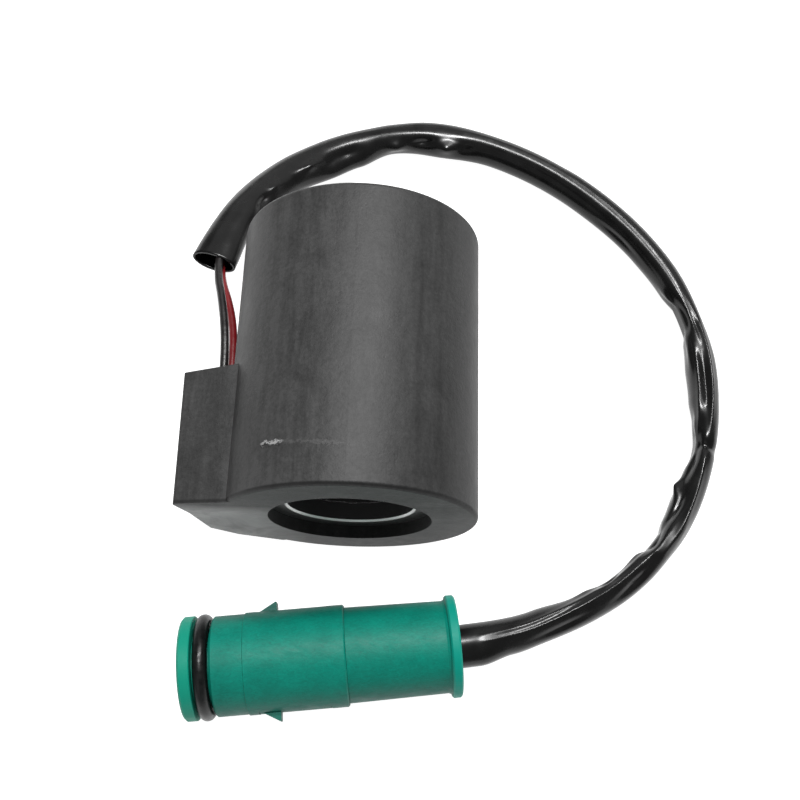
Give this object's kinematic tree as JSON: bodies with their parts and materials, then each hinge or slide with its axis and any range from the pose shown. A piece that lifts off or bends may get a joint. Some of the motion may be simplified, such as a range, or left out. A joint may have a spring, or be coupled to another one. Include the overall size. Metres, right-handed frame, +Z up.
{
  "type": "hydraulic valve solenoid coil",
  "caption": "Round moulded solenoid coil for a cartridge valve, lying on its side, with a side lead boss, leads in a loose sleeve and a round latched plug.",
  "frame": {"origin": "on the bore's axis, in the coil's lower end face: the end with the lead boss, which faces the plug", "axes": "+Y along the bore into the coil, +Z up off the surface it lies on, +X to the right seen from the lower end; the surface is at Z = -0.023"},
  "size_m": [0.1099, 0.1342, 0.046],
  "materials": {
    "coil_moulding": "fine matte moulding",
    "plated_steel": "thin bright zinc plate",
    "bobbin_plastic": "glass-filled nylon",
    "enamelled_copper": "enamelled copper wire",
    "tape": "polyester film",
    "tinned_copper": "tinned",
    "shrink_sleeve": "shrunk tubing",
    "black_wire_insulation": "soft vinyl",
    "red_wire_insulation": "soft vinyl",
    "black_vinyl": "glossy wrinkled vinyl",
    "green_plastic": "satin nylon",
    "black_rubber": "oiled nitrile",
    "carrier_plastic": "nylon",
    "seal_rubber": "silicone",
    "contact_brass": "bright"
  },
  "bodies": {
    "coil_and_plug": {"coil_encapsulation": "coil_moulding", "lower_flux_washer": "plated_steel", "upper_flux_washer": "plated_steel", "flux_tube": "plated_steel", "bobbin": "bobbin_plastic", "copper_winding": "enamelled_copper", "winding_tape": "tape", "black_winding_tail": "enamelled_copper", "red_winding_tail": "enamelled_copper", "black_splice_barrel": "tinned_copper", "red_splice_barrel": "tinned_copper", "black_splice_sleeve": "shrink_sleeve", "red_splice_sleeve": "shrink_sleeve", "black_lead_insulation": "black_wire_insulation", "red_lead_insulation": "red_wire_insulation", "black_lead_conductor": "tinned_copper", "red_lead_conductor": "tinned_copper", "protective_sleeve": "black_vinyl", "plug_housing": "green_plastic", "rear_holder": "green_plastic", "nose_o_ring": "black_rubber", "contact_carrier": "carrier_plastic", "contact_retainer": "carrier_plastic", "wire_seal": "seal_rubber", "black_socket_contact": "contact_brass", "red_socket_contact": "contact_brass"},
    "inner_latch": {"inner_latch_arm": "green_plastic"},
    "outer_latch": {"outer_latch_arm": "green_plastic"}
  },
  "joints": [
    {"name": "inner_latch_flex", "type": "hinge", "parent": "coil_and_plug", "child": "inner_latch", "pos_m": [-0.00493, -0.01442, -0.0135], "axis": [0, 0, 1], "range_deg": [0, 12], "stiffness_Nm_per_rad": 0.05},
    {"name": "outer_latch_flex", "type": "hinge", "parent": "coil_and_plug", "child": "outer_latch", "pos_m": [-0.00303, -0.03085, -0.0135], "axis": [0, 0, 1], "range_deg": [-12, 0], "stiffness_Nm_per_rad": 0.05}
  ]
}
